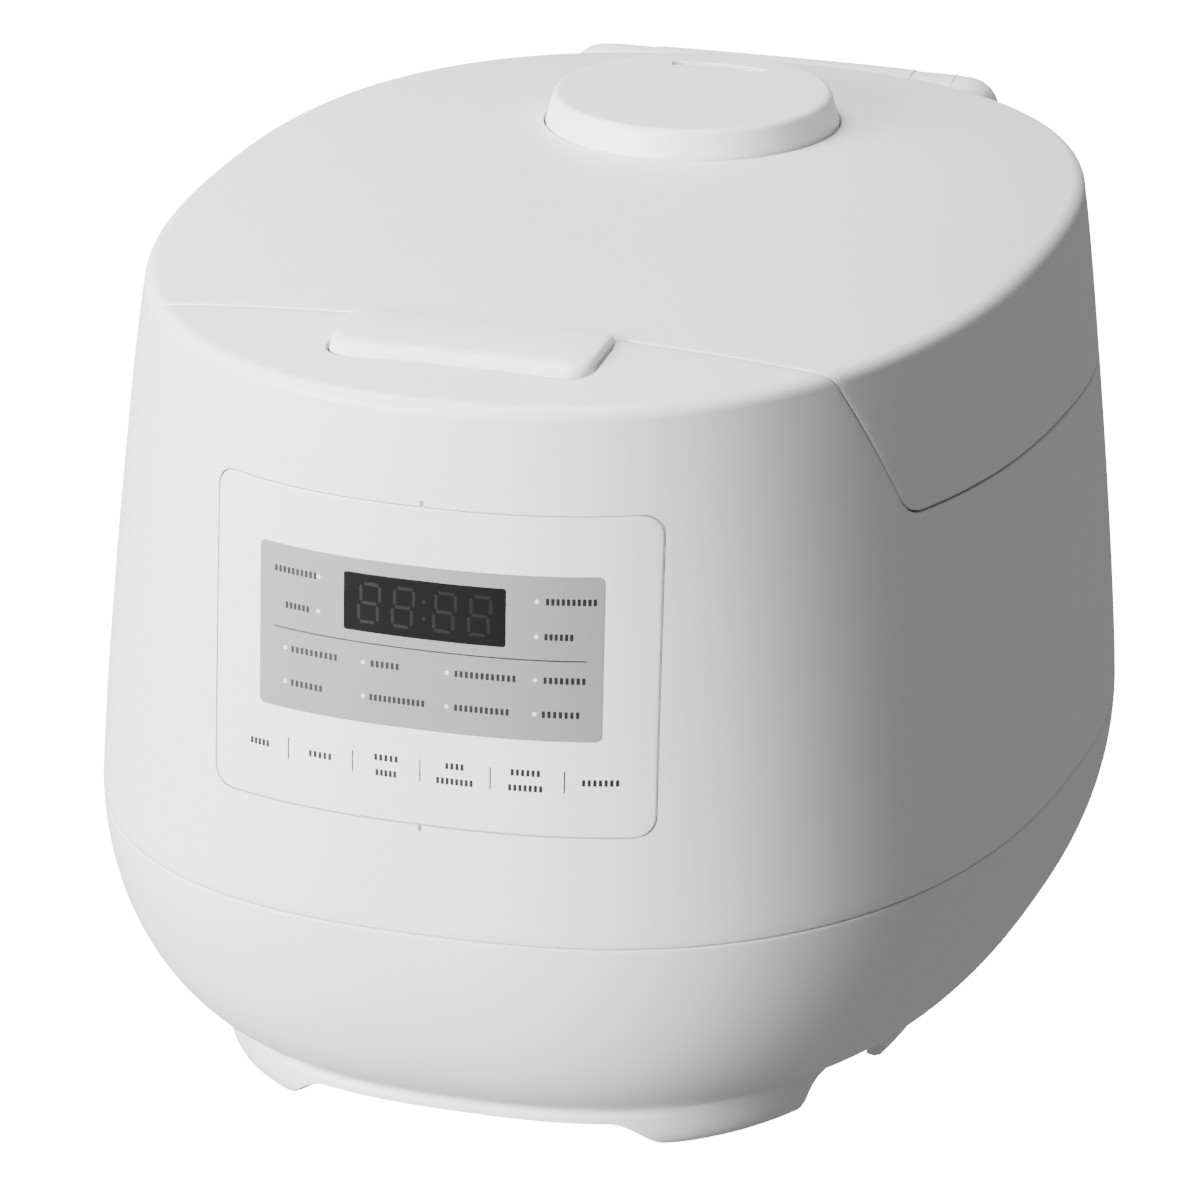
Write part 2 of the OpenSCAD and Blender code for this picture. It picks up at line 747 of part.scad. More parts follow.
module lid_frame() {
    place() color("gainsboro") difference() {
        union() {
            intersection() {
                casing_inside(wall + 0.3);
                difference() {
                    lid_side(0);
                    lid_side(-3.2);
                }
            }
            translate([0, pot_y, 164.6]) tube(98, 95.6, 5);
            intersection() {
                for (p = lid_screw_spots) translate([p[0], p[1], 160]) cylinder(h = 26, r = 5);
                lid_side(0);
            }
        }
        hinge_room(barrel_r + 3);
        translate([0, pot_y, 150]) cylinder(h = 14.7, r = 100);
        translate([0, cap_y, 150]) cylinder(h = 30, r = 12.4);
        translate([sensor_x, sensor_y, 150]) cylinder(h = 30, r = 4.4);
        translate([0, knob_y, 150]) cylinder(h = 30, r = 5.6);
        translate([-11, -100, 184.6]) cube([22, 20, 8]);
        for (p = lid_screw_spots) translate([p[0], p[1], 160]) {
            cylinder(h = 22, r = 1.4);
            cylinder(h = seam_height(p[1]) + 2.7 - 160, r = 3.2);
        }
    }
}

module lid_screws() {
    place() color("silver") for (p = lid_screw_spots)
        translate([p[0], p[1], seam_height(p[1]) + 0.6]) screw(1.38, 12);
}

module lid_heater() {
    place() color("silver") translate([0, pot_y, 172]) difference() {
        cylinder(h = 1.2, r = 70);
        translate([0, cap_y - pot_y, -1]) cylinder(h = 4, r = 14);
        translate([0, knob_y - pot_y, -1]) cylinder(h = 4, r = 6);
    }
    place() color("silver") for (x = [-50, 50]) translate([x, pot_y - 10, 169.6]) cylinder(h = 2.4, r = 4);
}

module inner_lid() {
    place() color("lightgray") translate([0, pot_y, 0]) difference() {
        rotate_extrude() polygon([[0, 161.6], [12, 161.6], [70, 162.4], [86, 163.2], [94.4, 163.2],
            [94.4, 164.4], [85.8, 164.4], [70, 163.6], [12, 162.8], [0, 162.8]]);
        for (a = [0:60:300]) translate([0, cap_y - pot_y, 0]) rotate(a) translate([6.4, 0, 155])
            cylinder(h = 15, r = 2);
        translate([0, knob_y - pot_y, 150]) cylinder(h = 20, r = 5.6);
    }
}

module inner_lid_knob() {
    place() color("gray") translate([0, knob_y, 158.6]) {
        cylinder(h = 3, r = 8);
        cylinder(h = 9.4, r = 5.2);
    }
}

module lid_gasket() {
    place() color("silver") translate([0, pot_y, 0]) rotate_extrude()
        polygon([[94.7, 162.4], [97.8, 160.8], [99.2, 161.2], [98.6, 163], [98.2, 164.3], [94.7, 164.3]]);
}

module steam_duct() {
    place() color("gainsboro") translate([0, cap_y, 164.9]) tube(11.8, 9.6, 43);
}

module lid_catch() {
    place() color("silver") {
        translate([-11, -86.8, 184.8]) cube([22, 5.2, 1.8]);
        translate([-11, -83.2, 184.8]) cube([22, 1.6, 6]);
    }
}

module lid_sensor() {
    place() color("silver") translate([sensor_x, sensor_y, 166.4]) {
        cylinder(h = 5.5, r = 4);
        translate([0, 0, 4.5]) cylinder(h = 1, r = 6);
    }
}

// ---- Steam cap ----

module steam_cap() {
    place() color("white") translate([0, cap_y, 0]) difference() {
        rotate_extrude() polygon(concat(
            [[0, cap_top_z], [cap_top_r - 3, cap_top_z]],
            [for (a = [90:-15:15]) [cap_top_r - 3 + 3 * cos(a), cap_top_z - 3 + 3 * sin(a)]],
            [[cap_r, cap_shoulder_z], [cap_r, cap_low_z], [cap_r - 2, cap_low_z],
                [cap_r - 2, cap_shoulder_z - 0.4], [cap_top_r - 2, cap_top_z - 2.4],
                [0, cap_top_z - 2.4]]));
        intersection() {
            translate([0, -30, 215]) tube(54.6, 52.2, 20);
            translate([-13.3, 0, 210]) cube([26.6, 40, 30]);
        }
    }
}

module cap_base() {
    place() color("gainsboro") translate([0, cap_y, 0]) difference() {
        union() {
            rotate_extrude() polygon([[7, 212], [34.4, 212], [34.4, 224.4], [32.6, 224.4], [32.6, 214],
                [7, 214]]);
            translate([0, 0, 203]) tube(8.6, 7, 9.5);
        }
        for (a = [0:72:288]) rotate(a + 90) translate([20, 0, 205]) cylinder(h = 20, r = 2.6);
    }
}

module cap_seal() {
    place() color("silver") translate([0, cap_y, 210.3]) tube(20, 9.8, 1.5);
}

base_shell();
rubber_feet();
bottom_plate();
base_screws();
body_shell();
upper_frame();
frame_screws();
heating_chamber();
heater_plate();
heater_terminals();
side_heater();
thermal_fuse();
sensor_cup();
sensor_spring();
inner_pot();
control_panel();
display_window();
display_module();
control_board();
key_switches();
indicator_leds();
board_carrier();
power_board();
transformer();
relays();
power_inlet();
inlet_pins();
hinge_housing();
hinge_pin();
hinge_spring();
button_well();
button_spring();
latch_spring();
release_bar();
latch_slide();
lid_cover();
steam_well();
lid_frame();
lid_heater();
inner_lid();
inner_lid_knob();
lid_gasket();
steam_duct();
hinge_arms();
hinge_knuckles();
lid_catch();
lid_screws();
lid_sensor();
steam_cap();
cap_base();
cap_seal();
pot_sensor();
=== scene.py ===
import math

import bpy
import bmesh
import numpy as np
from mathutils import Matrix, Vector


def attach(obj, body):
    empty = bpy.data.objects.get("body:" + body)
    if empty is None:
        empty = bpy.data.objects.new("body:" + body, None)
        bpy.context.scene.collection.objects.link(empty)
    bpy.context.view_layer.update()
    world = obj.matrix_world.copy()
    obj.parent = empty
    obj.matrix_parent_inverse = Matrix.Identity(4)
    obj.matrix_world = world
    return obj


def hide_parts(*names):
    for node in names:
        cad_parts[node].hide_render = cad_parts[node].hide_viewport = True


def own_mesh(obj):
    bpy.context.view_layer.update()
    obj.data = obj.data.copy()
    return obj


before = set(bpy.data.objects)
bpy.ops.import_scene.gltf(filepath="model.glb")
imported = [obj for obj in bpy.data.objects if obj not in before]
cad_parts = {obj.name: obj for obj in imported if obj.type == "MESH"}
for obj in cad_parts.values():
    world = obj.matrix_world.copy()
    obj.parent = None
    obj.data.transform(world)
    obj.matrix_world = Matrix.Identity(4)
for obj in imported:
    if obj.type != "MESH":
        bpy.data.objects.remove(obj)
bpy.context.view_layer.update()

# Six-cup rice cooker. Shapes are worked out in millimetres in the plan of the casing;
# place() turns them into metres in the CAD frame. The front faces -Y, +Z is up.

# ---- Driving dimensions ----

HALF_W, FRONT_HALF, BACK_HALF = 127.0, 162.7, 141.7
PLAN_Y, WIDEST_Z, RIM_Z = 10.5, 72.0, 211.5
LEAN_X, LEAN_Y, BOWL_IN, BOWL_H = 11.6, 5.6, 45.0, 64.0
TOP_TILT, DOME_H, DOME_N, EDGE_R, WALL = 0.02, 7.1, 2.65, 4.0, 2.8
NOSE_N, LOW_N, TAIL_N = 2.27, 2.5, 2.53
SEAM_Z = 69.5
LID_FRONT_Y, LID_SLOPE = -98.9, 0.43
SIDE_SEAM_TILT, SEAM_R = 1.52, 8.0
PARTING_CORNER = np.array([-80.4, 168.4])
HINGE_Y, HINGE_Z, BARREL_R = 153.5, 203.0, 9.5
HOUSING_HALF, HOUSING_LOW, HOUSING_EDGE = 62.2, 118.0, 2.4
ARM_X, ARM_W, KNUCKLE_R = 44.0, 12.0, 8.9
BAR_STRAIGHT, BAR_END, BAR_TAPER = 54.0, 8.4, 0.9
CAP_Y, CAP_R, CAP_TOP_R, CAP_TOP_Z = 69.2, 39.6, 37.4, 226.8
CAP_GAP, CAP_LOW_Z, CAP_FOOT_Z = 0.7, 215.4, 218.6
BAR_HALF, BAR_D = 34.4, 25.0
BAR_BACK = LID_FRONT_Y - 0.7
BAR_FRONT = BAR_BACK - BAR_D
BAR_MID = BAR_BACK - BAR_D / 2
PANEL_HALF, PANEL_LOW, PANEL_HIGH = 58.2, 99.2, 181.6
INLET_HALF, INLET_LOW, INLET_HIGH = 14.3, 70.6, 94.9
FOOT_X, FOOT_Y, FOOT_N = 86.3, 118.3, 2.7
FRONT_ARCH, SIDE_ARCH, SIDE_ARCH_MID, SIDE_ARCH_HALF = 8.2, 12.4, 58.6, 18.8
LEDGE_Z = 16.0
MID_Y = (HINGE_Y + BARREL_R + PLAN_Y - FRONT_HALF) / 2
MM = 0.001


# ---- Camera, as the reference view ----

AZIMUTH, ELEVATION, DISTANCE = math.radians(18.41), math.radians(20.59), 1.80774
FOCAL_SHARE = 7108.26 / 1200


def make_camera():
    back = Vector((math.sin(AZIMUTH) * math.cos(ELEVATION),
                   -math.cos(AZIMUTH) * math.cos(ELEVATION), math.sin(ELEVATION)))
    right = Vector((math.cos(AZIMUTH), math.sin(AZIMUTH), 0))
    aim = Vector((0, -0.08804 - MID_Y * MM, 0.13605)) + right * 0.0247
    data = bpy.data.cameras.new("camera")
    data.sensor_width = 36
    data.lens = 36 * FOCAL_SHARE
    camera = bpy.data.objects.new("camera", data)
    bpy.context.scene.collection.objects.link(camera)
    camera.location = aim + back * DISTANCE
    camera.rotation_mode = "QUATERNION"
    camera.rotation_quaternion = (-back).to_track_quat("-Z", "Y")
    bpy.context.scene.camera = camera


# name, place, size, power
LIGHTS = [("key", (-1.5, -2.0, 0.75), (1.4, 1.2), 285),
          ("top", (-0.8, 0.0, 2.0), (1.2, 1.2), 84)]
WORLD_LIGHT, FLOOR_GLOW = 0.275, 16.0


def area_light(name, at, aim, size, power):
    data = bpy.data.lights.new(name, "AREA")
    data.shape = "RECTANGLE"
    data.size, data.size_y = size
    data.energy = power
    lamp = bpy.data.objects.new(name, data)
    bpy.context.scene.collection.objects.link(lamp)
    lamp.location = at
    lamp.rotation_mode = "QUATERNION"
    lamp.rotation_quaternion = (Vector(aim) - Vector(at)).to_track_quat("-Z", "Y")
    return lamp


def make_studio():
    world = bpy.data.worlds.new("studio")
    bpy.context.scene.world = world
    world.use_nodes = True
    background = world.node_tree.nodes["Background"]
    background.inputs["Color"].default_value = (1, 1, 1, 1)
    background.inputs["Strength"].default_value = WORLD_LIGHT
    for name, at, size, power in LIGHTS:
        area_light(name, at, (0, 0, 0.12), size, power)
    mesh = bpy.data.meshes.new("floor")
    reach = 6.0
    mesh.from_pydata([(-reach, -reach, 0), (reach, -reach, 0), (reach, reach, 0), (-reach, reach, 0)],
                     [], [(0, 1, 2, 3)])
    floor = bpy.data.objects.new("floor", mesh)
    bpy.context.scene.collection.objects.link(floor)
    floor.location.z = -0.0002
    floor.visible_diffuse = False
    floor.visible_glossy = False
    mesh.materials.append(floor_material())


def floor_material():
    """Pale floor with a glow of its own, so that it stays almost white under the soft light."""
    material = plain_material("floor_white", (0.9, 0.9, 0.9), 0.9)
    shader = material.node_tree.nodes["Principled BSDF"]
    shader.inputs["Emission Color"].default_value = (1, 1, 1, 1)
    shader.inputs["Emission Strength"].default_value = FLOOR_GLOW
    return material


# ---- Materials ----

def plain_material(name, colour, roughness, metallic=0.0):
    material = bpy.data.materials.new(name)
    material.use_nodes = True
    shader = material.node_tree.nodes["Principled BSDF"]
    shader.inputs["Base Color"].default_value = (*colour, 1)
    shader.inputs["Roughness"].default_value = roughness
    shader.inputs["Metallic"].default_value = metallic
    return material


def noise_link(material, scale, detail, stretch=(1, 1, 1)):
    nodes, links = material.node_tree.nodes, material.node_tree.links
    where = nodes.new("ShaderNodeTexCoord")
    mapping = nodes.new("ShaderNodeMapping")
    mapping.inputs["Scale"].default_value = stretch
    noise = nodes.new("ShaderNodeTexNoise")
    noise.inputs["Scale"].default_value = scale
    noise.inputs["Detail"].default_value = detail
    links.new(where.outputs["Object"], mapping.inputs["Vector"])
    links.new(mapping.outputs["Vector"], noise.inputs["Vector"])
    return noise


def spread(material, noise, low, high, socket):
    """Lets the noise move a shader value between low and high."""
    nodes, links = material.node_tree.nodes, material.node_tree.links
    ramp = nodes.new("ShaderNodeMapRange")
    ramp.inputs["From Min"].default_value = 0.3
    ramp.inputs["From Max"].default_value = 0.7
    ramp.inputs["To Min"].default_value = low
    ramp.inputs["To Max"].default_value = high
    links.new(noise.outputs["Fac"], ramp.inputs["Value"])
    links.new(ramp.outputs["Result"], nodes["Principled BSDF"].inputs[socket])


def tint(material, noise, colour, change):
    nodes, links = material.node_tree.nodes, material.node_tree.links
    mix = nodes.new("ShaderNodeMix")
    mix.data_type = "RGBA"
    mix.inputs["A"].default_value = (*colour, 1)
    mix.inputs["B"].default_value = (*[min(1.0, c * change) for c in colour], 1)
    links.new(noise.outputs["Fac"], mix.inputs["Factor"])
    links.new(mix.outputs["Result"], nodes["Principled BSDF"].inputs["Base Color"])


def bump(material, noise, strength, distance):
    nodes, links = material.node_tree.nodes, material.node_tree.links
    node = nodes.new("ShaderNodeBump")
    node.inputs["Strength"].default_value = strength
    node.inputs["Distance"].default_value = distance
    links.new(noise.outputs["Fac"], node.inputs["Height"])
    links.new(node.outputs["Normal"], nodes["Principled BSDF"].inputs["Normal"])


def moulded(name, colour, roughness, grain=1500, depth=0.00003, strength=0.25):
    """Moulded plastic: fine tool grain and a slight cloud in colour and gloss."""
    material = plain_material(name, colour, roughness)
    fine = noise_link(material, grain, 2)
    cloud = noise_link(material, 14, 3)
    bump(material, fine, strength, depth)
    spread(material, cloud, roughness - 0.03, roughness + 0.03, "Roughness")
    tint(material, cloud, colour, 0.985)
    return material


def metal(name, colour, roughness, stretch=(1, 1, 1), grain=400, strength=0.15):
    material = plain_material(name, colour, roughness, 1.0)
    lines = noise_link(material, grain, 3, stretch)
    bump(material, lines, strength, 0.00004)
    spread(material, lines, roughness - 0.06, roughness + 0.08, "Roughness")
    tint(material, lines, colour, 0.9)
    return material


def make_materials():
    white = (0.80, 0.80, 0.795)
    return {
        "shell": moulded("shell_white", white, 0.42),
        "base": moulded("base_white", (0.79, 0.79, 0.785), 0.46),
        "bar": moulded("bar_white", (0.84, 0.84, 0.835), 0.38),
        "cap": moulded("cap_white", white, 0.42),
        "panel": moulded("panel_film", (0.81, 0.81, 0.81), 0.34, 2600, 0.00001, 0.12),
        "field": moulded("panel_field", (0.24, 0.24, 0.243), 0.36, 2600, 0.00001, 0.12),
        "ink": moulded("panel_ink", (0.012, 0.012, 0.013), 0.4, 2600, 0.00001, 0.1),
        "dot": moulded("panel_dot", (0.78, 0.78, 0.77), 0.3, 2600, 0.00001, 0.1),
        "smoke": moulded("display_smoke", (0.006, 0.006, 0.0065), 0.2, 2600, 0.000004, 0.06),
        "digit": moulded("display_digit", (0.0085, 0.0085, 0.009), 0.3, 2600, 0.00001, 0.1),
        "liner": moulded("liner_grey", (0.62, 0.62, 0.61), 0.4),
        "frame": moulded("frame_grey", (0.64, 0.64, 0.63), 0.42),
        "bottom": moulded("bottom_grey", (0.6, 0.6, 0.59), 0.55, 900, 0.00006, 0.4),
        "rubber": moulded("foot_rubber", (0.3, 0.3, 0.3), 0.75, 1200, 0.00005, 0.4),
        "silicone": moulded("silicone_grey", (0.5, 0.5, 0.5), 0.5, 1200, 0.00002, 0.2),
        "black": moulded("moulded_black", (0.02, 0.02, 0.02), 0.45),
        "carrier": moulded("carrier_grey", (0.3, 0.3, 0.3), 0.5),
        "green": moulded("board_green", (0.02, 0.14, 0.05), 0.35, 500, 0.00003, 0.3),
        "tan": moulded("board_tan", (0.36, 0.22, 0.08), 0.45, 500, 0.00003, 0.3),
        "blue": moulded("relay_blue", (0.03, 0.1, 0.42), 0.35),
        "tape": moulded("coil_tape", (0.55, 0.4, 0.07), 0.4, 500, 0.00005, 0.3),
        "sleeve": moulded("glass_sleeve", (0.6, 0.55, 0.36), 0.8, 900, 0.0001, 0.6),
        "led": moulded("led_resin", (0.75, 0.75, 0.68), 0.2),
        "aluminium": metal("drawn_aluminium", (0.77, 0.77, 0.78), 0.32, (1, 1, 6)),
        "anodised": metal("anodised_aluminium", (0.72, 0.72, 0.73), 0.38, (1, 1, 1), 700),
        "cast": metal("cast_aluminium", (0.6, 0.6, 0.61), 0.48, (1, 1, 1), 220, 0.4),
        "coating": pot_coating(),
        "steel": metal("bright_steel", (0.62, 0.62, 0.63), 0.28, (6, 1, 1)),
        "brass": metal("stamped_brass", (0.75, 0.56, 0.25), 0.3),
    }


def pot_coating():
    """Dark non-stick coating with fine bright flecks."""
    material = plain_material("pot_coating", (0.05, 0.05, 0.055), 0.42, 0.25)
    flecks = noise_link(material, 900, 1)
    tint(material, flecks, (0.035, 0.035, 0.04), 2.6)
    bump(material, flecks, 0.2, 0.00003)
    spread(material, flecks, 0.34, 0.5, "Roughness")
    return material


# ---- Casing surface ----

def spow(v, e):
    return np.sign(v) * np.abs(v) ** e


def side_share(z):
    return np.clip((z - WIDEST_Z) / (RIM_Z - WIDEST_Z), 0, 1) ** 1.3


def bowl_draw(z):
    low = np.minimum(0.985, np.clip((WIDEST_Z - z) / BOWL_H, 0, 1))
    return BOWL_IN * (1 - np.sqrt(1 - low * low))


def half_sizes(z, side):
    hx = HALF_W - LEAN_X * side_share(z) - bowl_draw(z)
    hy = np.where(side < 0, FRONT_HALF, BACK_HALF) - LEAN_Y * side_share(z) - bowl_draw(z)
    high = np.clip((z - WIDEST_Z) / (RIM_Z - WIDEST_Z), 0, 1)
    n = np.where(side < 0, LOW_N + (NOSE_N - LOW_N) * high, TAIL_N)
    return hx, hy, n


def ring_xy(angle, z, off):
    """Plan point of the casing at height z, drawn in by off."""
    c, s = np.cos(angle), np.sin(angle)
    hx, hy, n = half_sizes(z, s)
    x = (hx - off) * spow(c, 2 / n)
    y = PLAN_Y + (hy - off) * spow(s, 2 / n)
    return x, y


def tilt_share(z):
    top = RIM_Z - EDGE_R
    return np.clip((z - WIDEST_Z) / (top - WIDEST_Z), 0, 1) ** 4


WALL_LEN = RIM_Z - EDGE_R - SEAM_Z


ROUND_IN = 30.0


def casing_point(angle, p, off=0.0):
    """Point of the casing at path length p up from the seam, over the edge to the dome."""
    angle, p = np.broadcast_arrays(np.asarray(angle, float), np.asarray(p, float))
    on_top = p > WALL_LEN
    reach, roll = edge_roll(angle)
    turn = np.clip((p - WALL_LEN) / EDGE_R, 0, roll)
    share = np.clip((p - WALL_LEN - EDGE_R * roll) / reach, 0, 1)
    z = SEAM_Z + np.minimum(p, WALL_LEN)
    # the wall takes up the rim's own size over its last stretch, so the edge rolls on from it
    blend = np.clip((z - (RIM_Z - EDGE_R - ROUND_IN)) / ROUND_IN, 0, 1)
    level = np.where(on_top, RIM_Z, z + EDGE_R * blend ** 3)
    x, y = ring_xy(angle, level, off + EDGE_R * (1 - np.cos(turn)))
    s = 1 - share
    x, y = x * s, PLAN_Y + (y - PLAN_Y) * s
    crown = RIM_Z - EDGE_R + EDGE_R * np.sin(turn) + DOME_H * (1 - s ** DOME_N)
    up = np.where(on_top, crown, z) + TOP_TILT * y * np.where(on_top, 1.0, tilt_share(z))
    return np.stack([x, y, up - off * np.sin(turn)], -1)


def edge_roll(angle):
    """Distance from the rolled edge to the dome's pole, and the turn of the edge, in radians."""
    ex, ey = ring_xy(angle, np.full_like(angle, RIM_Z), EDGE_R)
    reach = np.hypot(ex, ey - PLAN_Y)
    return reach, np.pi / 2 - np.arctan(DOME_N * DOME_H / reach)


def path_end(angle):
    reach, roll = edge_roll(angle)
    return WALL_LEN + EDGE_R * roll + reach * 0.985


def casing_normal(angle, p):
    step_a, step_p = 1e-3, 0.05
    da = casing_point(angle + step_a, p) - casing_point(angle - step_a, p)
    dp = casing_point(angle, p + step_p) - casing_point(angle, np.maximum(p - step_p, 0))
    n = np.cross(da, dp)
    return n / np.linalg.norm(n, axis=-1, keepdims=True)


def even_angles(count):
    """Angles that space the points of the plan evenly, mirrored left to right."""
    fine = np.linspace(-np.pi / 2, np.pi / 2, 4001)
    x, y = ring_xy(fine, np.full_like(fine, 140.0), 0)
    length = np.concatenate([[0], np.cumsum(np.hypot(np.diff(x), np.diff(y)))])
    half = np.interp(np.linspace(0, length[-1], count // 2 + 1), length, fine)
    return np.concatenate([half, (np.pi - half)[-2:0:-1]])


# ---- Parting between lid and casing ----

LID_ANGLE = math.atan(LID_SLOPE)
TILT = math.radians(SIDE_SEAM_TILT)
FRONT_NORMAL = np.array([math.cos(LID_ANGLE), math.sin(LID_ANGLE)])
SIDE_NORMAL = np.array([math.sin(TILT), math.cos(TILT)])


def arc_centre():
    turn = math.pi / 2 - LID_ANGLE - TILT
    down = np.array([math.sin(LID_ANGLE), -math.cos(LID_ANGLE)])
    return PARTING_CORNER - down * SEAM_R * math.tan(turn / 2) + FRONT_NORMAL * SEAM_R


ARC_CENTRE = arc_centre()


def lid_side(point):
    """Signed distance in millimetres into the lid's side of the parting."""
    yz = point[..., 1:]
    d1 = (yz - PARTING_CORNER) @ FRONT_NORMAL
    d2 = (yz - PARTING_CORNER) @ SIDE_NORMAL
    r = yz - ARC_CENTRE
    angle = np.degrees(np.arctan2(r[..., 1], r[..., 0])) % 360
    corner = (angle > 180 + math.degrees(LID_ANGLE)) & (angle < 270 - SIDE_SEAM_TILT)
    return np.where(corner, SEAM_R - np.hypot(r[..., 0], r[..., 1]), np.minimum(d1, d2))


def parting_path(angles, level):
    """Path length on each column where the casing crosses the parting at the level."""
    p = np.arange(0, 300, 0.25)
    d = lid_side(casing_point(angles[:, None], p[None, :])) - level
    first = np.argmax(d > 0, axis=1)
    first = np.maximum(first, 1)
    rows = np.arange(len(angles))
    before, after = d[rows, first - 1], d[rows, first]
    return p[first - 1] + 0.25 * (-before / (after - before))


# ---- Mesh helpers ----

def place(points):
    points = np.asarray(points, float) - np.array([0, MID_Y, 0])
    return points * MM


def mesh_object(name, points, faces, material, body, sharp=35):
    mesh = bpy.data.meshes.new(name)
    mesh.from_pydata([tuple(p) for p in place(points).reshape(-1, 3)], [], faces)
    return finish_object(name, mesh, material, body, sharp)


def finish_object(name, mesh, material, body, sharp=35):
    work = bmesh.new()
    work.from_mesh(mesh)
    bmesh.ops.remove_doubles(work, verts=work.verts, dist=2e-7)
    bmesh.ops.dissolve_degenerate(work, edges=work.edges, dist=1e-7)
    bmesh.ops.recalc_face_normals(work, faces=work.faces)
    work.to_mesh(mesh)
    work.free()
    mesh.materials.clear()
    mesh.materials.append(MATERIALS[material])
    shade(mesh, sharp)
    piece = bpy.data.objects.new(name, mesh)
    bpy.context.scene.collection.objects.link(piece)
    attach(piece, body)
    return piece


def shade(mesh, sharp):
    mesh.polygons.foreach_set("use_smooth", [True] * len(mesh.polygons))
    mesh.set_sharp_from_angle(angle=math.radians(sharp))


def grid_faces(rows, columns, close_rows=False, close_columns=True, start=0):
    """Quads over rows x columns of points, joined round on request."""
    faces = []
    for r in range(rows if close_rows else rows - 1):
        below, above = start + r * columns, start + ((r + 1) % rows) * columns
        for c in range(columns if close_columns else columns - 1):
            right = (c + 1) % columns
            faces.append((below + c, below + right, above + right, above + c))
    return faces


def loft(name, rings, material, body, closed=False, end_cap=True, sharp=35):
    """Skin over rings of points; the ends are capped unless the rings close."""
    rings = np.asarray(rings, float)
    rows, columns = rings.shape[:2]
    faces = grid_faces(rows, columns, close_rows=closed)
    if not closed:
        faces.append(tuple(range(columns)))
        if end_cap:
            faces.append(tuple((rows - 1) * columns + c for c in range(columns)))
    return mesh_object(name, rings.reshape(-1, 3), faces, material, body, sharp)


def cut(piece, cutter, sharp=35):
    """Takes the cutter away from the piece and throws the cutter out."""
    modifier = piece.modifiers.new("cut", "BOOLEAN")
    modifier.operation = "DIFFERENCE"
    modifier.solver = "EXACT"
    modifier.object = cutter
    graph = bpy.context.evaluated_depsgraph_get()
    result = bpy.data.meshes.new_from_object(piece.evaluated_get(graph))
    piece.modifiers.clear()
    old = piece.data
    material = old.materials[0]
    piece.data = result
    result.name = old.name
    bpy.data.meshes.remove(old)
    result.materials.clear()
    result.materials.append(material)
    result.polygons.foreach_set("material_index", [0] * len(result.polygons))
    shade(result, sharp)
    bpy.data.objects.remove(cutter)


def cutter_from(rings):
    """A closed solid from rings, used only to cut."""
    rings = np.asarray(rings, float)
    rows, columns = rings.shape[:2]
    faces = grid_faces(rows, columns)
    faces.append(tuple(range(columns)))
    faces.append(tuple((rows - 1) * columns + c for c in range(columns)))
    mesh = bpy.data.meshes.new("cutter")
    mesh.from_pydata([tuple(p) for p in place(rings).reshape(-1, 3)], [], faces)
    work = bmesh.new()
    work.from_mesh(mesh)
    bmesh.ops.recalc_face_normals(work, faces=work.faces)
    work.to_mesh(mesh)
    work.free()
    cutter = bpy.data.objects.new("cutter", mesh)
    bpy.context.scene.collection.objects.link(cutter)
    return cutter


def rounded_outline(half_x, half_y, radius, per_corner=10):
    """Points round a rounded rectangle, counter-clockwise; each corner may have its own radius."""
    radii = radius if isinstance(radius, (list, tuple)) else [radius] * 4
    points = []
    for (sx, sy), start, r in zip(((1, 1), (-1, 1), (-1, -1), (1, -1)), (0, 90, 180, 270), radii):
        for a in np.radians(np.linspace(start, start + 90, per_corner + 1)):
            points.append((sx * (half_x - r) + r * math.cos(a), sy * (half_y - r) + r * math.sin(a)))
    return np.array(points)


def circle(radius, count=96):
    a = np.linspace(0, 2 * np.pi, count, endpoint=False)
    return np.stack([radius * np.cos(a), radius * np.sin(a)], -1)


def lathe(name, profile, centre_y, material, body, count=128, closed=True, sharp=35):
    """Turns a profile of (radius, z) points round a vertical axis."""
    rings = []
    for r, z in profile:
        ring = circle(max(r, 0.02), count)
        rings.append(np.column_stack([ring[:, 0], centre_y + ring[:, 1], np.full(count, z)]))
    return loft(name, rings, material, body, closed=closed, sharp=sharp)


def arc(cx, cz, radius, start, end, steps=6):
    a = np.radians(np.linspace(start, end, steps + 1))
    return [(cx + radius * math.cos(t), cz + radius * math.sin(t)) for t in a]


# ---- Shells ----

COLUMNS = 400
LIP_R = 0.45


def lip_rows(angles, ends, side, depth=2.6):
    """Rounded edge and short return wall along a parting; side is +1 where a column ends there."""
    base = casing_point(angles, ends)
    normal = casing_normal(angles, ends)
    tangent = np.roll(base, -1, axis=0) - np.roll(base, 1, axis=0)
    out = np.cross(tangent, normal)
    out /= np.linalg.norm(out, axis=-1, keepdims=True)
    ahead = casing_point(angles, ends + 0.2) - base
    out *= np.sign(np.sum(out * ahead, -1, keepdims=True)) * side
    rows = [base + LIP_R * math.sin(t) * out - LIP_R * (1 - math.cos(t)) * normal
            for t in np.radians([25, 50, 75, 90])]
    rows.append(base + LIP_R * out - depth * normal)
    return rows


def path_rows(first, last, wall_step, dome_step):
    wall = np.arange(first, WALL_LEN - 2, wall_step)
    edge = np.linspace(WALL_LEN - 1.5, WALL_LEN + EDGE_R * 1.6, 14)
    dome = np.arange(WALL_LEN + EDGE_R * 1.6 + 1.2, last, dome_step)
    return np.concatenate([wall, edge, dome])


FINE, COARSE = 3.0, 9.0


def snapped_rows(angles, start, end, step, off):
    """Rows of the casing between two paths; rows that come close to an end move onto it."""
    rows = []
    for p in path_rows(0, 300, step, step):
        row = np.where(p > end - 1.0, end, p)
        row = np.where(row < start + 1.0, start, row)
        rows.append(casing_point(angles, row, off))
    return [casing_point(angles, start, off)] + rows + [casing_point(angles, end, off)]


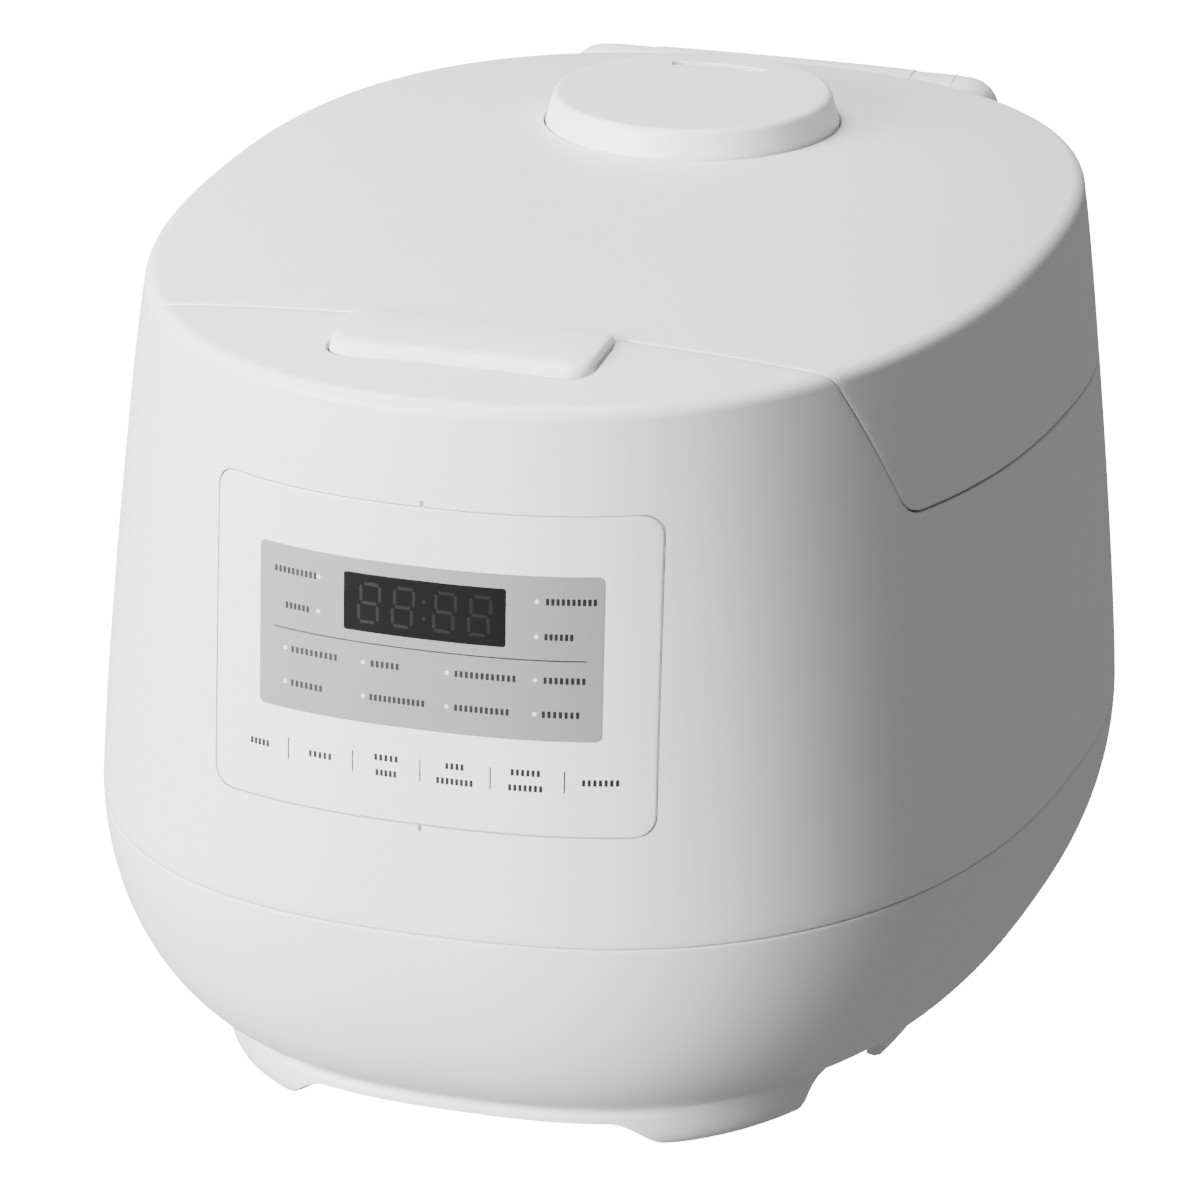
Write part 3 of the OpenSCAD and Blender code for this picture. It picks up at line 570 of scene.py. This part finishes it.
def casing_part(name, angles, start, end, material, body):
    """Closed shell between two paths: outer face, end lip, inner face, start lip."""
    loop = snapped_rows(angles, start, end, FINE, 0) + lip_rows(angles, end, 1)
    loop += snapped_rows(angles, start, end, COARSE, WALL)[::-1] + lip_rows(angles, start, -1)[::-1]
    return loft(name, loop, material, body, closed=True)


def make_body():
    angles = even_angles(COLUMNS)
    end = parting_path(angles, -0.55) - LIP_R
    start = np.full_like(end, 0.2 + LIP_R)
    shell = casing_part("body_casing", angles, start, end, "shell", "root")
    cut(shell, panel_cutter(PANEL_HALF + 0.3, PANEL_LOW - 0.3, PANEL_HIGH + 0.3, 5.3, 1.5))
    for z in (PANEL_LOW - 0.9, PANEL_HIGH + 0.9):
        cut(shell, notch_cutter(z))
    cut(shell, bar_cutter())
    cut(shell, slot_cutter(0, INLET_HALF, 138, 160, INLET_LOW, INLET_HIGH))
    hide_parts("body_shell")


def make_lid():
    """The lid's rows run from the outer pole over the edge and lip, then to the inner pole."""
    angles = even_angles(COLUMNS)
    start = parting_path(angles, 0.05) + LIP_R
    end = path_end(angles)
    loop = snapped_rows(angles, start, end, FINE, 0)[::-1] + lip_rows(angles, start, -1)
    loop += snapped_rows(angles, start, end, COARSE, WALL)
    shell = loft("lid_casing", loop, "shell", "lid")
    ring = circle(CAP_R + CAP_GAP, 160)
    cut(shell, cutter_from([np.column_stack([ring[:, 0], CAP_Y + ring[:, 1], np.full(len(ring), z)])
                            for z in (205, 230)]))
    cut(shell, hinge_cutter(0.6))
    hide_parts("lid_cover")


def bar_radius(x, grow=0.0):
    """Radius of the hinge bar at x: a slight taper, then a rounded end."""
    taper = BARREL_R - BAR_TAPER * (abs(x) / BAR_STRAIGHT) ** 3 + grow
    past = min(max(abs(x) - BAR_STRAIGHT, 0) / (BAR_END + grow), 0.999)
    return taper * math.sqrt(1 - past * past)


def bar_stations(grow=0.0):
    """Places along the hinge bar, closer together at its rounded ends."""
    ends = [BAR_STRAIGHT + (BAR_END + grow) * math.sin(t) for t in np.radians([20, 40, 55, 68, 79, 87])]
    right = list(np.linspace(0, BAR_STRAIGHT, 14)) + ends
    return [-x for x in right[:0:-1]] + right


def hinge_cutter(gap):
    """Room for the hinge housing: its bar and everything below it towards the back."""
    rings = []
    for x in bar_stations(gap):
        radius = bar_radius(x, gap)
        outline = [(HINGE_Y + radius * math.cos(a), HINGE_Z + radius * math.sin(a))
                   for a in np.radians(np.linspace(180, 0, 25))]
        outline += [(HINGE_Y + 40, HINGE_Z), (HINGE_Y + 40, 140), (HINGE_Y - radius, 140)]
        rings.append([(x, y, z) for y, z in outline])
    return cutter_from(rings)


def slot_cutter(x, half, y0, y1, z0, z1):
    outline = [(y0, z0), (y1, z0), (y1, z1), (y0, z1)]
    return cutter_from([[(x + s * half, y, z) for y, z in outline] for s in (-1, 1)])


def foot_ring(angles, z, grow=0.0):
    """The skirt's outline at height z: it swells quickly over the floor, then slowly."""
    swell = 5.2 * (1 - np.exp(-z / 1.7)) + 0.05 * z + grow
    x = (FOOT_X + swell) * spow(np.cos(angles), 2 / FOOT_N)
    y = (FOOT_Y + swell) * spow(np.sin(angles), 2 / FOOT_N)
    return np.stack([x, y, np.broadcast_to(z, x.shape)], -1)


def smooth_step(v):
    v = np.clip(v, 0, 1)
    return v * v * (3 - 2 * v)


def foot_height(angles):
    """Height of the skirt's lower edge: four feet with arches between them."""
    at = foot_ring(angles, np.zeros_like(angles))
    x, y = np.abs(at[:, 0]), np.abs(at[:, 1])
    front = FRONT_ARCH * smooth_step((52.5 - x) / 16) * (y > 85)
    across = np.clip(np.abs(y - SIDE_ARCH_MID) / SIDE_ARCH_HALF, 0, 1)
    side = SIDE_ARCH * (1 - across ** 3) ** 0.45 * (x > 60)
    middle = 0.6 * (y < SIDE_ARCH_MID)
    return 0.4 + np.maximum(np.maximum(front, side), middle)


def crease_height(angles):
    """Height at which the skirt meets the bowl on each column."""
    levels = np.linspace(6, 18, 121)
    gap = []
    for z in levels:
        bowl, skirt = bowl_row(angles, z), foot_ring(angles, np.full_like(angles, z))
        gap.append(np.hypot(bowl[:, 0], bowl[:, 1]) - np.hypot(skirt[:, 0], skirt[:, 1]))
    return levels[np.argmax(np.array(gap) > 0, axis=0)]


def base_rows(angles, low, crease, blend=3.0):
    """Outer rows of the base: skirt, soft crease, then the bowl up to a level row."""
    knee = np.maximum(crease, low + 1.0)
    level_top = 20.0
    rows = []
    heights = [low + (knee - low) * u for u in np.linspace(0, 1, 13)]
    heights += [knee + (level_top - knee) * u for u in np.linspace(0.12, 1, 8)]
    for z in heights:
        share = smooth_step((z - crease + blend) / (2 * blend))[:, None]
        bowl = np.stack([*ring_xy(angles, z, 0), z], -1)
        rows.append((1 - share) * foot_ring(angles, z) + share * bowl)
    return rows


def make_base():
    angles = even_angles(2 * COLUMNS)
    low = foot_height(angles)
    crease = crease_height(angles)
    outer = base_rows(angles, low, crease)
    inward = outer[0] * np.array([1 - 0.5 / FOOT_X, 1 - 0.5 / FOOT_Y, 1])
    rows = [inward, outer[0] + np.array([0, 0, 0.35])] + outer[1:]
    for z in np.concatenate([np.linspace(21.5, 40, 11), np.linspace(42.5, SEAM_Z - 1.4, 12)]):
        rows.append(bowl_row(angles, z))
    edge = SEAM_Z - 0.1
    for t in np.radians([0, 30, 60, 90]):
        rows.append(bowl_row(angles, edge - LIP_R * (1 - math.sin(t)), LIP_R * (1 - math.cos(t))))
    for z in (edge, 56, 46, 37, 29, 22, 19):
        rows.append(bowl_row(angles, z, WALL))
    for z, grow in [(LEDGE_Z + 2.2, -18), (LEDGE_Z, -18), (LEDGE_Z, -3.5)]:
        rows.append(foot_ring(angles, np.full_like(angles, z), grow))
    rows.append(foot_ring(angles, low, -3.2))
    base = loft("base_casing", rows, "base", "root", closed=True)
    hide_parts("base_shell")


def bowl_row(angles, z, off=0.0):
    x, y = ring_xy(angles, np.full_like(angles, z), off)
    return np.stack([x, y, np.full_like(x, z)], -1)


# ---- Front panel ----

def front_y(x, z, depth=0.0):
    """Front wall of the casing at x and z, moved in by depth."""
    hx, hy, n = half_sizes(z, np.full_like(z, -1.0))
    hx, hy = hx - depth, hy - depth
    return PLAN_Y - hy * (1 - (np.abs(x) / hx) ** n) ** (1 / n)


def on_front(xz, depth=0.0):
    xz = np.asarray(xz, float)
    x, z = xz[..., 0], xz[..., 1]
    return np.stack([x, front_y(x, z, depth), z], -1)


def dense_outline(points, step=2.0):
    """Adds points along the straight runs of an outline."""
    result = []
    for a, b in zip(points, np.roll(points, -1, axis=0)):
        count = max(1, int(np.hypot(*(b - a)) / step))
        result += [a + (b - a) * k / count for k in range(count)]
    return np.array(result)


def plate_rings(centre, half, radius, height, thick, fillet, fill, per_corner=8):
    """Rings of a thin plate with rounded corners that follows the front wall."""
    outline = dense_outline(rounded_outline(half[0], half[1], radius, per_corner))
    middle = np.array(centre)
    core = max(half[0] - half[1], 0)
    def shrunk(k):
        target = np.column_stack([np.clip(outline[:, 0], -core, core), np.zeros(len(outline))])
        return outline * (1 - k) + target * k
    rings = [on_front(middle + outline, -height + thick)]
    rings.append(on_front(middle + outline, -height + fillet))
    for t in np.radians([30, 60, 90]):
        inset = fillet * (1 - math.cos(t))
        scale = 1 - inset / half
        rings.append(on_front(middle + outline * scale, -height + fillet * (1 - math.sin(t))))
    for k in np.linspace(0.02, 1, fill):
        rings.append(on_front(middle + shrunk(k), -height))
    return rings


def front_plate(name, centre, half, radius, height, thick, material, fillet=0.12, fill=14):
    """A plate on the front wall; height is how proud it stands."""
    rings = plate_rings(centre, half, radius, height, thick, fillet, fill)
    return loft(name, rings, material, "root", end_cap=False, sharp=50)


def label(name, centre, length, height):
    """A generic label: a row of short upright blocks, joined into one piece."""
    block, pitch = 0.78, 1.3
    count = max(2, round(length / pitch))
    points, faces = [], []
    for index in range(count):
        x = centre[0] + (index - (count - 1) / 2) * length / count
        rings = np.array(plate_rings((x, centre[1]), np.array((block / 2, LABEL_H / 2)), 0.12, height,
                                     height + 0.05, 0.008, 3, 2))
        rows, columns = rings.shape[:2]
        start = len(points)
        faces += grid_faces(rows, columns, start=start)
        faces.append(tuple(start + c for c in range(columns)))
        points += [tuple(point) for ring in rings for point in ring]
    return mesh_object(name, np.array(points), faces, "ink", "root", 50)


def notch_cutter(z):
    """Small nick in the groove round the panel, on its centre line."""
    nick = [(-0.5, z - 0.9), (0.5, z - 0.9), (0.5, z + 0.9), (-0.5, z + 0.9)]
    return cutter_from([on_front(nick, depth) for depth in (-3.0, 1.2)])


def panel_cutter(half, low, high, radius, depth):
    outline = dense_outline(rounded_outline(half, (high - low) / 2, radius, 8))
    xz = outline + np.array([0, (high + low) / 2])
    rings = [on_front(xz, -4.0)]
    rings += [on_front(xz, depth)]
    core = np.column_stack([np.clip(xz[:, 0], -20, 20), np.full(len(xz), (high + low) / 2)])
    front = [on_front(xz * (1 - k) + core * k, -4.0) for k in np.linspace(0.98, 0.1, 8)]
    back = [on_front(xz * (1 - k) + core * k, depth) for k in np.linspace(0.1, 0.98, 8)]
    return cutter_from(front + rings + back)


LABEL_H, KEY_SHARE = 1.7, 0.62
KEY_Z, KEY_EDGES = 113.5, (-36.0, -18.0, 0.0, 18.2, 36.6)
KEY_LABELS = ((-44.5, (9.5,)), (-27.0, (11.0,)), (-9.0, (11.0, 9.5)), (9.0, (8.5, 16.0)),
              (27.0, (12.5, 14.5)), (45.2, (15.0,)))
# centre x, centre z and length of each label on the grey field
LABELS = [(-34.2, 160, 12.5), (-33.6, 151, 7.2), (37.5, 160, 12.5), (34.7, 151, 7.4),
          (-28.8, 139.8, 13.5), (-9.4, 139.8, 8.0), (16.6, 139.8, 16.0), (36.2, 139.8, 10.6),
          (-30.9, 131, 9.4), (-6.2, 131, 15.0), (15.8, 131, 14.4), (35.4, 131, 9.6)]
DISPLAY_MID, DISPLAY_HALF = (0.6, 155.3), (21.1, 7.5)
DOTS = ([(x, z) for z in (160, 151) for x in (-27.6, 29.3)]
        + [(x, z) for z in (139.8, 131) for x in (-37, -15.2, 6.9, 29.1)])


def mark(name, centre, half, material, height=0.03, radius=None):
    radius = min(half) * 0.9 if radius is None else radius
    fill = max(3, int(min(half) / 1.2))
    return front_plate(name, centre, np.array(half), radius, height, height + 0.05, material,
                       fillet=0.008, fill=fill)


def make_panel():
    centre = (0, (PANEL_LOW + PANEL_HIGH) / 2)
    half = np.array([PANEL_HALF - 0.1, (PANEL_HIGH - PANEL_LOW) / 2 - 0.1])
    panel = front_plate("panel_film", centre, half, 5, 0.0, 1.2, "panel", 0.18, 26)
    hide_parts("control_panel")
    mark("panel_field", (0.4, 145.3), (45.0, 21.2), "field", 0.04, 1.6)
    window = front_plate("display_lens", DISPLAY_MID, np.array(DISPLAY_HALF), 0.7, 0.09, 0.4,
                         "smoke", 0.05, 14)
    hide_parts("display_window")
    for index, (x, z) in enumerate(DOTS):
        mark(f"dot_{index}", (x, z), (0.55, 0.55), "dot", 0.07)
    mark("divider", (0.6, 144.9), (41.0, 0.16), "ink", 0.06)
    for index, x in enumerate(KEY_EDGES):
        mark(f"key_divider_{index}", (x, KEY_Z), (0.16, 2.9), "ink")
    for index, (x, lines) in enumerate(KEY_LABELS):
        for row, length in enumerate(lines):
            z = KEY_Z + (2.0 - 4.0 * row if len(lines) > 1 else 0)
            label(f"key_mark_{index}_{row}", (x, z), length * KEY_SHARE, 0.03)
    for index, (x, z, length) in enumerate(LABELS):
        label(f"label_mark_{index}", (x, z), length, 0.065)
    make_digits()


def make_digits():
    """Four unlit seven-segment digits and a colon behind the smoked lens."""
    slant = 0.12
    for index, x in enumerate((-14.2, -5.2, 5.6, 14.6)):
        centre = np.array([DISPLAY_MID[0] + x, DISPLAY_MID[1]])
        w, h, t = 2.5, 4.9, 0.42
        bars = [((0, h), (w - 0.5, t)), ((0, 0), (w - 0.5, t)), ((0, -h), (w - 0.5, t))]
        bars += [((s * w, v * h / 2), (t, h / 2 - 0.5)) for s in (-1, 1) for v in (-1, 1)]
        for part, (at, half) in enumerate(bars):
            spot = centre + np.array([at[0] + slant * at[1], at[1]])
            mark(f"digit_{index}_{part}", spot, half, "digit", 0.11)
    for index, z in enumerate((-2.2, 2.2)):
        mark(f"colon_{index}", (DISPLAY_MID[0] + 0.2, DISPLAY_MID[1] + z), (0.5, 0.5), "digit", 0.11)


# ---- Release bar ----

def deck_z(y):
    """Height of the bar's top face along Y."""
    share = (y - BAR_FRONT) / BAR_D
    return 213.3 + 1.9 * share


def bar_outline(inset, front_inset=None):
    front_inset = inset if front_inset is None else front_inset
    half_y = (BAR_D - inset - front_inset) / 2
    shift = (front_inset - inset) / 2
    points = rounded_outline(BAR_HALF - inset, half_y, [2.0, 2.0, 6.5, 6.5], 10)
    return points + np.array([0, BAR_MID + shift])


# inset at the sides and back, inset at the front, drop below the deck
BAR_ROUNDING = [(0.0, 0.25, 2.6), (0.06, 1.3, 1.5), (0.25, 2.6, 0.75),
                (0.6, 3.6, 0.3), (1.2, 4.6, 0.08), (2.2, 6.0, 0.0)]


def lean_back(ring):
    """Keeps the bar's back face clear of the lid's sloping front."""
    limit = BAR_BACK - LID_SLOPE * np.maximum(ring[:, 2] - RIM_Z, 0)
    ring[:, 1] = np.minimum(ring[:, 1], limit)
    return ring


def make_bar():
    rings = []
    for z in (204.4, 207.5, 209.6):
        ring = bar_outline(0)
        rings.append(lean_back(np.column_stack([ring, np.full(len(ring), z)])))
    for inset, front, drop in BAR_ROUNDING:
        ring = bar_outline(inset, front)
        rings.append(lean_back(np.column_stack([ring, deck_z(ring[:, 1]) - drop])))
    last = bar_outline(*BAR_ROUNDING[-1][:2])
    for k in np.linspace(0.15, 0.98, 6):
        target = np.column_stack([np.clip(last[:, 0], -24, 24), np.full(len(last), BAR_MID + 1.5)])
        ring = last * (1 - k) + target * k
        crown = 0.25 * (1 - (1 - k) ** 2)
        rings.append(np.column_stack([ring, deck_z(ring[:, 1]) + crown]))
    bar = loft("release_bar_cover", rings, "bar", "release_bar", sharp=60)
    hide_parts("release_bar")
    stem = [(-106, 205), (-114, 205), (-114, 200), (-108, 194), (-106, 194)]
    loft("release_bar_stem", [[(x, y, z) for y, z in stem] for x in (-6, -5.6, 5.6, 6)], "bar",
         "release_bar")


def bar_cutter():
    """Recess round the release bar."""
    outline = rounded_outline(BAR_HALF + 0.9, BAR_D / 2 + 0.9, [7.0, 7.0, 7.4, 7.4], 10)
    outline = outline + np.array([0, BAR_MID - 0.4])
    return cutter_from([np.column_stack([outline, np.full(len(outline), z)]) for z in (195, 230)])


# ---- Steam cap ----

def make_cap():
    top, edge = CAP_TOP_Z, 2.0
    centre = CAP_TOP_R + 0.5 - edge
    profile = [(r, top) for r in (0.02, 8, 16, 24, 30)]
    profile += arc(centre, top - edge, edge, 90, 10, 8)
    profile += [(CAP_R - 0.05, CAP_FOOT_Z + 0.5), (CAP_R, CAP_FOOT_Z), (CAP_R, CAP_LOW_Z + 0.3),
                (CAP_R - 0.3, CAP_LOW_Z), (CAP_R - 2.2, CAP_LOW_Z), (CAP_R - 2.4, CAP_FOOT_Z)]
    profile += [(CAP_TOP_R - 2, top - 2.8), (0.02, top - 2.8)]
    cap = lathe("steam_cap_cover", profile, CAP_Y, "cap", "steam_cap", 160, closed=False)
    cut(cap, slot_ring_cutter())
    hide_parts("steam_cap")


def slot_ring_cutter():
    """Curved steam slot in the cap's top, bowed towards the back."""
    radius, half_angle, width = 53.4, 14.4, 4.0
    centre_y = CAP_Y - 28.6
    sweep = np.radians(np.linspace(90 - half_angle, 90 + half_angle, 24))
    sides = ((radius + width / 2, sweep), (radius - width / 2, sweep[::-1]))
    outline = [(r * math.cos(a), centre_y + r * math.sin(a)) for r, turns in sides for a in turns]
    return cutter_from([[(x, y, z) for x, y in outline] for z in (CAP_TOP_Z - 1.3, CAP_TOP_Z + 3)])


# ---- Hinge housing ----

def housing_profile(x):
    """Side view of the housing at x: the bar's back, the wall below it, then the front face."""
    bar = bar_radius(x)
    past = max(abs(x) - (HOUSING_HALF - HOUSING_EDGE), 0) / HOUSING_EDGE
    inset = HOUSING_EDGE * (1 - math.sqrt(1 - min(past, 1) ** 2))
    r = BARREL_R - inset
    low = HOUSING_LOW + inset
    back = arc(HINGE_Y, HINGE_Z, bar, 150, 0, 14)
    back += [(HINGE_Y + min(r, bar + 3.5), HINGE_Z - 9), (HINGE_Y + r - 0.4, HINGE_Z - 20),
             (HINGE_Y + r - 1.2, HINGE_Z - 34), (HINGE_Y + r - 4, HINGE_Z - 52),
             (HINGE_Y + r - 7.6, HINGE_Z - 68), (HINGE_Y + r - 10.2, low + 3),
             (HINGE_Y + r - 11.4, low + 0.8), (HINGE_Y + r - 13.2, low)]
    z = np.array([low, low + 12, 140, 150, 158, 163.2, 163.6, 175, 190, HINGE_Z - 9.0])
    gap = np.where(z < 163.4, -1.2, 0.9)
    hx, hy, n = half_sizes(z, np.ones_like(z))
    y = PLAN_Y + (hy + gap) * (1 - (abs(x) / (hx + gap)) ** n) ** (1 / n)
    y = np.minimum(y, HINGE_Y - BARREL_R + 4)
    return back + list(zip(y, z)) + [(HINGE_Y - 0.9 * bar, HINGE_Z - 0.3 * bar)]


def make_housing():
    low_ends = [HOUSING_HALF - HOUSING_EDGE * (1 - math.sin(t)) for t in np.radians([0, 30, 60])]
    places = sorted(set(bar_stations()) | set(low_ends) | {-x for x in low_ends})
    rings = [[(x, y, z) for y, z in housing_profile(x)] for x in places]
    housing = loft("hinge_cover", rings, "shell", "root", sharp=40)
    for side in (-1, 1):
        cut(housing, slot_cutter(side * ARM_X, ARM_W / 2 + 0.12, HINGE_Y - 30, HINGE_Y + 1 + BARREL_R,
                                 HINGE_Z - KNUCKLE_R - 0.4, HINGE_Z + 30))
    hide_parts("hinge_housing")


# ---- CAD nodes that stay ----

NODE_LOOKS = {
    "rubber_feet": "rubber", "bottom_plate": "bottom", "base_screws": "steel", "upper_frame": "frame",
    "frame_screws": "steel", "heating_chamber": "aluminium", "heater_plate": "cast",
    "heater_terminals": "brass", "side_heater": "aluminium", "thermal_fuse": "sleeve",
    "sensor_cup": "aluminium", "sensor_spring": "steel", "inner_pot": "coating", "display_module": "black",
    "control_board": "green", "key_switches": "black", "indicator_leds": "led",
    "board_carrier": "carrier", "power_board": "tan", "transformer": "tape", "relays": "blue",
    "power_inlet": "black", "inlet_pins": "steel", "hinge_pin": "steel", "hinge_spring": "steel",
    "button_well": "frame", "button_spring": "steel", "latch_spring": "steel",
    "latch_slide": "carrier", "steam_well": "liner", "lid_frame": "liner", "lid_heater": "aluminium",
    "inner_lid": "anodised", "inner_lid_knob": "silicone", "lid_gasket": "silicone",
    "steam_duct": "liner", "hinge_arms": "steel", "hinge_knuckles": "shell", "lid_catch": "steel",
    "lid_screws": "steel",
    "lid_sensor": "steel", "cap_base": "liner", "cap_seal": "silicone", "pot_sensor": "aluminium",
}


def dress_nodes():
    for name, look in NODE_LOOKS.items():
        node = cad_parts[name]
        if not node.material_slots:
            node.data.materials.append(None)
        for spot in node.material_slots:
            spot.material = MATERIALS[look]


def make_springs():
    """Copies of the two sprung nodes, which stand in for the hidden nodes."""
    for node, joint, travel, fixed_z in (("button_spring", "bar_press", 0.003, 0.2003),
                                         ("sensor_spring", "sensor_plunge", 0.002, 0.0274)):
        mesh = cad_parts[node].data.copy()
        coil = finish_object(node + "_coil", mesh, "steel", "root")
        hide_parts(node)
        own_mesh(coil)


make_camera()
make_studio()
MATERIALS = make_materials()
dress_nodes()
make_base()
make_body()
make_lid()
make_panel()
make_bar()
make_cap()
make_housing()
make_springs()

bpy.context.view_layer.update()
